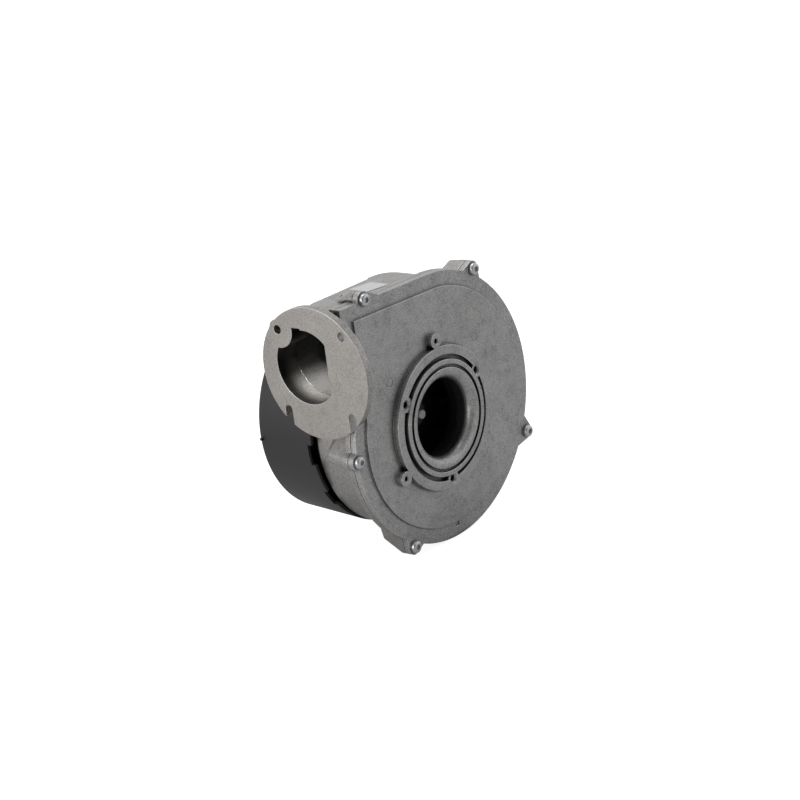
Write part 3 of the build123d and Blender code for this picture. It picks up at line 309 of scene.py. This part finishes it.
cloud_part = worked_out(tree, "MULTIPLY", ramp(tree, cloud, 0.36, 0.72), 0.4)
stain_sum = worked_out(tree, "MULTIPLY_ADD", ramp(tree, blotch, 0.46, 0.68), 0.6, cloud_part)
stain_share = worked_out(tree, "MULTIPLY", stain_sum, given["Stains"], clamp=True)
stained = mixed(tree, stain_share, given["Clean"], given["Stain"])
speckle_amount = ramp(tree, speckle, 0.38, 0.62, -0.5, 0.5, "LINEAR")
speckle_gain = worked_out(tree, "MULTIPLY", speckle_amount, given["Grain"])
grained = dimmed(tree, stained, worked_out(tree, "ADD", speckle_gain, 1.0))
# Painted shade: ambient occlusion darkens the skin in creases, grooves and pockets, where shade falls.
crevice = node_at(tree, "ShaderNodeAmbientOcclusion", samples=8, Distance=0.0045)
crease_shade = ramp(tree, crevice.outputs["AO"], 0.35, 0.93, 0.12)
crease_shaded = dimmed(tree, grained, crease_shade)
# Worn edges and painted highlight: along sharp edges the colour turns to the much lighter edge colour, both
# as wear and as a painted highlight.
edge_normal = node_at(tree, "ShaderNodeBevel", samples=6, Radius=0.0011).outputs["Normal"]
agree = node_at(tree, "ShaderNodeVectorMath", operation="DOT_PRODUCT")
tree.links.new(edge_normal, agree.inputs[0])
tree.links.new(tree.nodes.new("ShaderNodeNewGeometry").outputs["Normal"], agree.inputs[1])
edge_wear_and_highlight = worked_out(tree, "MULTIPLY", ramp(tree, agree.outputs["Value"], 0.995, 0.86), crease_shade)
wear_highlight_share = worked_out(tree, "MULTIPLY", edge_wear_and_highlight, speckle)
tree.links.new(mixed(tree, wear_highlight_share, crease_shaded, given["Rubbed"]), result["Color"])
tree.links.new(ramp(tree, blotch, 0.0, 1.0, 0.28, 0.50, "LINEAR"), result["Roughness"])
tree.links.new(worked_out(tree, "MULTIPLY_ADD", blotch, 0.8, speckle), result["Height"])
tree.links.new(edge_normal, result["Edge Normal"])

# Painted shade in the duct: the skin is darkened at the mouth and above the duct floor, leaving the floor
# lighter.
duct_painted_shade, given, result = open_group(
    "duct_painted_shade", (("Color", "Color", (0.3, 0.3, 0.3, 1)), ("Mouth", "Float", -0.1)), (("Color", "Color"),))
tree = duct_painted_shade
spot = tree.nodes.new("ShaderNodeTexCoord").outputs["Object"]
along = node_at(tree, "ShaderNodeSeparateXYZ", Vector=spot).outputs
past_mouth = ramp(tree, worked_out(tree, "SUBTRACT", along["X"], given["Mouth"]), 0.0, 0.014, 0.12)
near_floor = ramp(tree, along["Z"], 0.062, 0.047, 0.10)
lit_share = worked_out(tree, "MULTIPLY", past_mouth, near_floor)
tree.links.new(dimmed(tree, given["Color"], lit_share), result["Color"])


def casting_material(name, clean, stain, worn_highlight, stains, grain, offset, metallic, shade_mouth=None):
    """Cast metal: the shared skin with this piece's own colours, with painted shade at the mouth of a duct
    and on its upper wall.
    """
    material = bpy.data.materials.new(name)
    tree = new_nodes(material)
    output = tree.nodes.new("ShaderNodeOutputMaterial")
    skin = placed_group(tree, casting_skin, Clean=(*clean, 1), Stain=(*stain, 1), Rubbed=(*worn_highlight, 1),
                        Stains=stains, Grain=grain, Offset=offset)
    colour = skin.outputs["Color"]
    if shade_mouth is not None:
        colour = placed_group(tree, duct_painted_shade, Color=colour, Mouth=shade_mouth).outputs["Color"]
    bump = node_at(tree, "ShaderNodeBump", Strength=0.22, Distance=0.0004, Height=skin.outputs["Height"],
                   Normal=skin.outputs["Edge Normal"])
    shader = node_at(tree, "ShaderNodeBsdfPrincipled", Metallic=metallic,
                     Roughness=skin.outputs["Roughness"], Normal=bump.outputs[0])
    tree.links.new(colour, shader.inputs["Base Color"])
    tree.links.new(shader.outputs[0], output.inputs["Surface"])
    return material


flange_face_x = cad_box[0].x
housing = smooth_copy("volute_housing", "scroll_housing")
housing_metal = casting_material(
    "housing_casting", (0.37, 0.358, 0.345), (0.21, 0.203, 0.196), (0.80, 0.78, 0.75),
    stains=0.8, grain=0.5, offset=0.0, metallic=0.85)
wear(housing, "housing", housing_metal, "cast_aluminium", "volute_housing")
flange_metal = casting_material(
    "flange_face", (0.42, 0.402, 0.382), (0.29, 0.277, 0.262), (0.80, 0.78, 0.75),
    stains=0.8, grain=0.35, offset=0.3, metallic=0.85)
# The scroll's inside and the outlet bore get painted shade: darker at the bore's mouth and above the duct
# floor.
inner_metal = casting_material(
    "inner_skin", (0.42, 0.41, 0.39), (0.26, 0.25, 0.24), (0.30, 0.29, 0.28),
    stains=0.6, grain=0.4, offset=0.5, metallic=0.2, shade_mouth=flange_face_x - 0.095)
bore_metal = casting_material(
    "bore_skin", (0.52, 0.50, 0.47), (0.34, 0.33, 0.31), (0.40, 0.38, 0.35),
    stains=0.6, grain=0.4, offset=0.9, metallic=0.2, shade_mouth=flange_face_x + 0.003)
for metal in (flange_metal, inner_metal, bore_metal):
    housing.data.materials.append(metal)
on_flange, inside_scroll, in_bore = 1, 2, 3


def ray_target(mesh):
    """A mesh that rays can be cast at."""
    return BVHTree.FromPolygons([vertex.co for vertex in mesh.vertices],
                                [face.vertices for face in mesh.polygons])


walls = ray_target(housing.data)
lid = ray_target(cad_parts["inlet_cover"].data)
bore_y, bore_z, bore_reach, bore_end = 0.03235, 0.0698, 0.0278, -0.085
channel_front, channel_back, channel_bottom = 0.0118, 0.0555, 0.066
duct_underside = 0.03
across = 0.012
for face in housing.data.polygons:
    x, y, z = face.center
    faces_cover = face.normal.y < -0.2
    beside_duct = x < -0.08 and z < duct_underside
    channel_depth = channel_bottom if faces_cover else channel_back
    if face.normal.x < -0.99 and x < flange_face_x + 0.0001:
        face.material_index = on_flange
    elif x < bore_end and abs(face.normal.x) < 0.2 and math.hypot(y - bore_y, z - bore_z) < bore_reach:
        face.material_index = in_bore
    elif x > flange_face_x + 0.001 and not beside_duct and channel_front < y < channel_depth:
        start = face.center + 0.0002 * face.normal
        hit = walls.ray_cast(start, face.normal)
        if hit[0] is None and faces_cover:
            hit = lid.ray_cast(start, face.normal)
        if hit[0] is not None and hit[3] > across:
            face.material_index = inside_scroll


# Inlet cover: a flat aluminium die casting with a stepped rim, the raised mounting ring, its
# pockets, darkened by painted shade, and the rolled bellmouth. Its skin is greyer and more stained
# than the scroll's, and painted shade makes the throat wall behind the bellmouth near black.
# The mouths of its screw holes are countersunk, and two ejector pins left rings on its face.
def turned_cutter(work, x, z, profile):
    """Adds a closed turned shape along Y to a cutter: its profile is (radius, y) pairs in millimetres."""
    around = 32
    rings = []
    for radius, y in profile:
        ring = []
        for step in range(around):
            angle = 2 * math.pi * step / around
            ring.append(work.verts.new(((x + radius * math.cos(angle)) / 1000, y / 1000,
                                        (z + radius * math.sin(angle)) / 1000)))
        rings.append(ring)
    for ring, following in zip(rings, rings[1:] + rings[:1]):
        for step in range(around):
            after = (step + 1) % around
            work.faces.new((ring[step], ring[after], following[after], following[step]))


cover_face_y = 4.8
large_hole = {"circle": 47.45, "hole": 2.5, "mouth": 3.9}
small_hole = {"circle": 59.3, "hole": 1.65, "mouth": 2.55}
cuts = bmesh.new()
for kind, angle, front in (
    (large_hole, 30, 0.0), (large_hole, 150, 0.0), (large_hole, 270, 0.0),
    (small_hole, 90, 0.0), (small_hole, 210, 0.0), (small_hole, 330, cover_face_y),
):
    hole = kind["hole"]
    mouth = kind["mouth"]
    core = 0.4 * hole
    bottom = front + mouth - hole + 0.1
    turned_cutter(cuts, kind["circle"] * math.cos(math.radians(angle)),
                  kind["circle"] * math.sin(math.radians(angle)),
                  ((core, front - 0.5), (mouth + 0.5, front - 0.5), (hole - 0.1, bottom), (core, bottom)))
pin_inner_r = 2.9
pin_outer_r = 3.35
before_face = cover_face_y - 0.5
groove_floor = cover_face_y + 0.25
for x, z in ((48.9, 46.9), (-50.6, 43.6)):
    turned_cutter(cuts, x, z, ((pin_inner_r, before_face), (pin_outer_r, before_face),
                               (pin_outer_r, groove_floor), (pin_inner_r, groove_floor)))
notch_place = Vector((0.0053, 0.0058, -0.0868))
notch_size = Vector((0.0042, 0.0028, 0.0030))
bmesh.ops.create_cube(cuts, size=1, matrix=Matrix.LocRotScale(notch_place, None, notch_size))
bmesh.ops.recalc_face_normals(cuts, faces=cuts.faces)
cuts_mesh = bpy.data.meshes.new("cover_cuts")
cuts.to_mesh(cuts_mesh)
cuts.free()
cover_cuts = bpy.data.objects.new("cover_cuts", cuts_mesh)
bpy.context.scene.collection.objects.link(cover_cuts)
cover = smooth_copy("inlet_cover", "inlet_cover_casting", cutter=cover_cuts)
cover_metal = casting_material(
    "cover_casting", (0.42, 0.416, 0.412), (0.205, 0.204, 0.206), (0.85, 0.84, 0.82),
    stains=0.85, grain=0.55, offset=0.7, metallic=0.85)
wear(cover, "housing", cover_metal, "cast_aluminium", "inlet_cover")
# Painted shade: the throat wall behind the bellmouth gets a near-black skin where it lies in shade.
throat_painted_shade = casting_material(
    "throat_shade_skin", (0.07, 0.07, 0.07), (0.04, 0.04, 0.04), (0.15, 0.15, 0.15),
    stains=0.6, grain=0.5, offset=0.2, metallic=0.7)
cover.data.materials.append(throat_painted_shade)
throat_reach, throat_start = 0.034, 0.0075
for face in cover.data.polygons:
    if math.hypot(face.center.x, face.center.z) < throat_reach and face.center.y > throat_start:
        face.material_index = 1


# Motor cover: a black nylon moulding with a fine eroded texture, plugged over the motor and
# held by three screws in deep wells.
fine_finish, given, result = open_group(
    "fine_finish",
    (("Dark", "Color", (0.1, 0.1, 0.1, 1)), ("Light", "Color", (0.2, 0.2, 0.2, 1)),
     ("Grain Scale", "Float", 1500.0), ("Grain Detail", "Float", 3.0), ("Tone Scale", "Float", 60.0)),
    (("Color", "Color"), ("Height", "Float")))
tree = fine_finish
spot = tree.nodes.new("ShaderNodeTexCoord").outputs["Object"]
fine = node_at(tree, "ShaderNodeTexNoise", Vector=spot, Scale=given["Grain Scale"],
               Detail=given["Grain Detail"])
tone = node_at(tree, "ShaderNodeTexNoise", Vector=spot, Scale=given["Tone Scale"], Detail=3.0)
tree.links.new(mixed(tree, tone.outputs["Fac"], given["Dark"], given["Light"]), result["Color"])
tree.links.new(fine.outputs["Fac"], result["Height"])


def plain_material(name, dark, light, roughness, metallic, grain, depth, detail=3.0, tone=None):
    """Moulded, coated or turned material with a slight change of tone and a fine texture."""
    material = bpy.data.materials.new(name)
    tree = new_nodes(material)
    output = tree.nodes.new("ShaderNodeOutputMaterial")
    finish = placed_group(tree, fine_finish, Dark=(*dark, 1), Light=(*light, 1), Grain_Scale=grain,
                          Grain_Detail=detail, Tone_Scale=tone or grain / 25)
    bump = node_at(tree, "ShaderNodeBump", Strength=0.25, Distance=depth, Height=finish.outputs["Height"])
    shader = node_at(tree, "ShaderNodeBsdfPrincipled", Metallic=metallic, Roughness=roughness,
                     Normal=bump.outputs[0])
    tree.links.new(finish.outputs["Color"], shader.inputs["Base Color"])
    tree.links.new(shader.outputs[0], output.inputs["Surface"])
    return material


motor_cap = smooth_copy("motor_cover", "motor_cap")
cap_plastic = plain_material("cap_plastic", (0.011, 0.011, 0.012), (0.018, 0.018, 0.020), 0.48, 0.0,
                             grain=1500, depth=0.0002, detail=2.0, tone=30)
wear(motor_cap, "housing", cap_plastic, "black_plastic", "motor_cover")


# Impeller: black coated sheet discs and blades riveted to a turned hub, which a push-on clip
# holds on the ground steel shaft. The sheet is made near black, partly as painted shade for the
# inside of the throat; little of it shows through the dark throat.
def dress(material, *nodes):
    """Gives CAD nodes that keep their own mesh a finished material."""
    for node in nodes:
        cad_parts[node].data.materials.clear()
        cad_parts[node].data.materials.append(material)


# Partly painted shade: the impeller's sheet is darker than black plastic, so that it reads as shade in the
# throat.
black_sheet_and_shade = plain_material("black_sheet_and_shade", (0.006, 0.006, 0.007), (0.011, 0.011, 0.012), 0.6, 0.0,
                             grain=900, depth=0.0001)
dress(black_sheet_and_shade, "impeller_front_shroud", "impeller_blades", "impeller_back_disc", "impeller_hub",
      "hub_rivets", "impeller_clip")
ground_steel = plain_material("ground_steel", (0.32, 0.315, 0.30), (0.42, 0.41, 0.40), 0.4, 1.0,
                              grain=1500, depth=0.00004)
dress(ground_steel, "motor_shaft", "front_bearing_outer_ring", "front_bearing_inner_ring",
      "front_bearing_balls", "rear_bearing_outer_ring", "rear_bearing_inner_ring", "rear_bearing_balls")


# Screws: zinc-plated pan heads with a six-lobed recess, driven into the castings. Five large
# ones hold the cover, smaller ones the motor cover, the bearing bracket and the board.
def screw_blank(name, head_r, head_h, drive_r, drive_depth, shank_r, shank_length):
    """One screw along Y with its seat at the origin: the head towards -Y, the shank towards +Y."""
    around = 60
    lobes = 6
    lobe_depth = 0.13
    rim_h = 0.42
    flat_r = drive_r * 1.22
    crease = math.radians(38)
    profile = [(shank_r * 0.7, shank_length, 0), (shank_r, shank_length - 0.3 * shank_r, 0), (shank_r, 0, 0)]
    profile += [(head_r * 0.985, 0, 0), (head_r, -0.04 * head_h, 0), (head_r, -rim_h * head_h, 0)]
    for step in range(1, 7):
        lean = math.radians(15 * step)
        profile.append((flat_r + (head_r - flat_r) * math.cos(lean),
                        -head_h * (rim_h + (1 - rim_h) * math.sin(lean)), 0))
    profile += [(drive_r * 1.07, -head_h, 1), (drive_r, -head_h * 0.985, 1)]
    profile += [(drive_r * 0.94, -head_h + drive_depth, 1)]
    work = bmesh.new()
    rings = []
    for radius, y, lobed in profile:
        ring = []
        for step in range(around):
            angle = 2 * math.pi * step / around
            reach = radius * (1 + lobe_depth * lobed * math.cos(lobes * angle))
            ring.append(work.verts.new((reach * math.cos(angle), y, reach * math.sin(angle))))
        rings.append(ring)
    for lower, upper in zip(rings, rings[1:]):
        for step in range(around):
            after = (step + 1) % around
            work.faces.new((lower[step], lower[after], upper[after], upper[step]))
    work.faces.new(rings[0])
    tip = work.verts.new((0, -head_h + drive_depth * 1.25, 0))
    for step in range(around):
        work.faces.new((rings[-1][step], rings[-1][(step + 1) % around], tip))
    bmesh.ops.recalc_face_normals(work, faces=work.faces)
    for face in work.faces:
        face.smooth = True
    for edge in work.edges:
        edge.smooth = edge.calc_face_angle(0) < crease
    mesh = bpy.data.meshes.new(name)
    work.to_mesh(mesh)
    work.free()
    return bpy.data.objects.new(name, mesh)


screw_rows = bpy.data.node_groups.new("screw_rows", "GeometryNodeTree")
row_input = {}
for label, kind in (
    ("Seats", "NodeSocketGeometry"), ("Screw", "NodeSocketObject"), ("Turned Over", "NodeSocketFloat"),
    ("Seed", "NodeSocketInt"), ("Finish", "NodeSocketMaterial"),
):
    made = screw_rows.interface.new_socket(label, in_out="INPUT", socket_type=kind)
    row_input[label] = made.identifier
screw_rows.interface.new_socket("Screws", in_out="OUTPUT", socket_type="NodeSocketGeometry")
given = screw_rows.nodes.new("NodeGroupInput").outputs
result = screw_rows.nodes.new("NodeGroupOutput").inputs
one_screw = node_at(screw_rows, "GeometryNodeObjectInfo", Object=given["Screw"])
as_points = node_at(screw_rows, "GeometryNodeMeshToPoints", Mesh=given["Seats"])
chance = node_at(screw_rows, "FunctionNodeRandomValue", data_type="FLOAT", Seed=given["Seed"])
chance.inputs[3].default_value = 2 * math.pi
tightened = node_at(screw_rows, "ShaderNodeCombineXYZ", Y=chance.outputs[1])
flipped = node_at(screw_rows, "ShaderNodeCombineXYZ", X=given["Turned Over"])
spread = node_at(screw_rows, "GeometryNodeInstanceOnPoints", Points=as_points.outputs["Points"],
                 Instance=one_screw.outputs["Geometry"], Rotation=flipped.outputs[0])
turned = node_at(screw_rows, "GeometryNodeRotateInstances", Instances=spread.outputs["Instances"],
                 Rotation=tightened.outputs[0])
real = node_at(screw_rows, "GeometryNodeRealizeInstances", Geometry=turned.outputs["Instances"])
coated = node_at(screw_rows, "GeometryNodeSetMaterial", Geometry=real.outputs["Geometry"],
                 Material=given["Finish"])
screw_rows.links.new(coated.outputs["Geometry"], result["Screws"])

zinc_plate = plain_material("zinc_plate", (0.46, 0.47, 0.48), (0.60, 0.61, 0.63), 0.32, 1.0,
                            grain=1800, depth=0.00005)


def screw_row(name, blank, seats, turned_over, seed, node):
    """Like screws in their seats, given in millimetres, as one piece that stands for a CAD node."""
    seat_mesh = bpy.data.meshes.new(name + "_seats")
    seat_mesh.from_pydata([(x / 1000, y / 1000, z / 1000) for x, y, z in seats], [], [])
    row = bpy.data.objects.new(name + "_seats", seat_mesh)
    bpy.context.scene.collection.objects.link(row)
    nodes = row.modifiers.new("screws", "NODES")
    nodes.node_group = screw_rows
    nodes[row_input["Screw"]] = blank
    nodes[row_input["Turned Over"]] = math.pi if turned_over else 0.0
    nodes[row_input["Seed"]] = seed
    nodes[row_input["Finish"]] = zinc_plate
    evaluated = row.evaluated_get(bpy.context.evaluated_depsgraph_get())
    mesh = bpy.data.meshes.new_from_object(evaluated)
    mesh.name = name
    bpy.data.objects.remove(row)
    piece = bpy.data.objects.new(name, mesh)
    bpy.context.scene.collection.objects.link(piece)
    wear(piece, "housing", zinc_plate, "zinc_steel", node)


def on_circle(radius, y, *angles):
    """Seats on a circle round the motor's axis, in millimetres."""
    turns = [math.radians(angle) for angle in angles]
    return [(radius * math.cos(turn), y, radius * math.sin(turn)) for turn in turns]


lug_seat_y = 6.5
lug_seats = [(-65.2, lug_seat_y, 110.1), (58.3, lug_seat_y, 96.8), (99.3, lug_seat_y, -45.3),
             (-45.5, lug_seat_y, -85.8), (-93.0, lug_seat_y, -2.7)]
cover_screw = screw_blank("cover_screw", head_r=0.00475, head_h=0.0037, drive_r=0.0020, drive_depth=0.0018,
                          shank_r=0.00238, shank_length=0.018)
screw_row("cover_screw_row", cover_screw, lug_seats, False, 4, "cover_screws")
cap_screw = screw_blank("cap_screw", head_r=0.0037, head_h=0.0026, drive_r=0.0016, drive_depth=0.0013,
                        shank_r=0.0017, shank_length=0.0095)
screw_row("cap_screw_row", cap_screw, on_circle(70, 66.3, 35, 150, 270), True, 9, "motor_cover_screws")
bracket_screw = screw_blank("bracket_screw", head_r=0.0036, head_h=0.0024, drive_r=0.0016,
                            drive_depth=0.0012, shank_r=0.00195, shank_length=0.016)
screw_row("bracket_screw_row", bracket_screw, on_circle(56, 82.0, 90, 210, 330), True, 2, "bracket_screws")
board_screw = screw_blank("board_screw", head_r=0.0028, head_h=0.0018, drive_r=0.0012, drive_depth=0.0009,
                          shank_r=0.00145, shank_length=0.006)
screw_row("board_screw_row", board_screw, on_circle(40, 104.6, 30, 150, 270), True, 6, "board_screws")


# Seam and patch: a thin black fibre gasket between the castings, and a plain silvery foil
# patch on the scroll's sloping top.
gasket_fibre = plain_material("gasket_fibre", (0.008, 0.008, 0.008), (0.016, 0.016, 0.016), 0.75, 0.0,
                              grain=1200, depth=0.0001)
dress(gasket_fibre, "cover_gasket")
foil = plain_material("foil", (0.52, 0.525, 0.53), (0.60, 0.605, 0.61), 0.42, 0.3, grain=600, depth=0.00003)
dress(foil, "blank_label")


# Inside the motor cover: stacked laminations, ferrite magnets, copper coils on white insulators
# and a small board on brass standoffs. Nothing shows them unless the cover is taken off.
def banded_material(name, dark, light, roughness, metallic, pitch, rings):
    """Stacked sheets or wound wire: fine bands along the motor's axis, or round it."""
    material = plain_material(name, dark, light, roughness, metallic, grain=1500, depth=0.00002)
    tree = material.node_tree
    spot = tree.nodes.new("ShaderNodeTexCoord").outputs["Object"]
    bands = node_at(tree, "ShaderNodeTexWave", wave_type="RINGS" if rings else "BANDS", Scale=0.314 / pitch,
                    Vector=spot)
    if rings:
        bands.rings_direction = "Y"
    else:
        bands.bands_direction = "Y"
    ridge = node_at(tree, "ShaderNodeBump", Strength=0.5, Distance=pitch / 4, Height=bands.outputs["Fac"])
    tree.links.new(ridge.outputs[0], tree.nodes["Bump"].inputs["Normal"])
    return material


laminations = banded_material("laminations", (0.20, 0.20, 0.21), (0.32, 0.32, 0.33), 0.45, 1.0,
                              pitch=0.0005, rings=False)
dress(laminations, "rotor_core", "stator_core")
enamelled_wire = banded_material("enamelled_wire", (0.42, 0.13, 0.05), (0.60, 0.22, 0.09), 0.32, 0.9,
                                 pitch=0.0007, rings=True)
dress(enamelled_wire, "stator_coils")
bracket_metal = casting_material(
    "bracket_casting", (0.44, 0.43, 0.42), (0.30, 0.295, 0.29), (0.7, 0.69, 0.68),
    stains=0.5, grain=0.6, offset=1.9, metallic=0.85)
dress(bracket_metal, "rear_bearing_bracket")
for name, dark, light, roughness, metallic, grain, depth, nodes in (
    ("ferrite", (0.03, 0.03, 0.032), (0.05, 0.05, 0.052), 0.6, 0.2, 1100, 0.00008,
     ("rotor_magnets", "board_choke")),
    ("white_nylon", (0.62, 0.61, 0.56), (0.70, 0.69, 0.64), 0.45, 0.0, 900, 0.00006,
     ("stator_insulator_front", "stator_insulator_rear")),
    ("grey_felt", (0.10, 0.10, 0.095), (0.17, 0.165, 0.16), 0.95, 0.0, 1600, 0.0003,
     ("shaft_seal",)),
    ("brown_nylon", (0.22, 0.12, 0.05), (0.30, 0.17, 0.08), 0.5, 0.0, 1200, 0.00005,
     ("front_bearing_cage", "rear_bearing_cage")),
    ("blued_steel", (0.05, 0.055, 0.07), (0.09, 0.095, 0.11), 0.4, 1.0, 1400, 0.00004,
     ("preload_spring",)),
    ("board_lacquer", (0.010, 0.075, 0.030), (0.016, 0.11, 0.045), 0.3, 0.0, 500, 0.00003,
     ("circuit_board",)),
    ("turned_brass", (0.60, 0.42, 0.16), (0.72, 0.53, 0.24), 0.3, 1.0, 1700, 0.00004,
     ("board_standoffs",)),
    ("capacitor_sleeve", (0.015, 0.017, 0.03), (0.025, 0.028, 0.045), 0.3, 0.0, 700, 0.00003,
     ("board_capacitors",)),
    ("socket_nylon", (0.020, 0.020, 0.021), (0.032, 0.032, 0.034), 0.4, 0.0, 1300, 0.00006,
     ("power_socket", "control_socket")),
    ("tinned_pins", (0.62, 0.61, 0.58), (0.74, 0.73, 0.70), 0.28, 1.0, 1600, 0.00003,
     ("power_socket_pins", "control_socket_pins")),
):
    dress(plain_material(name, dark, light, roughness, metallic, grain, depth), *nodes)
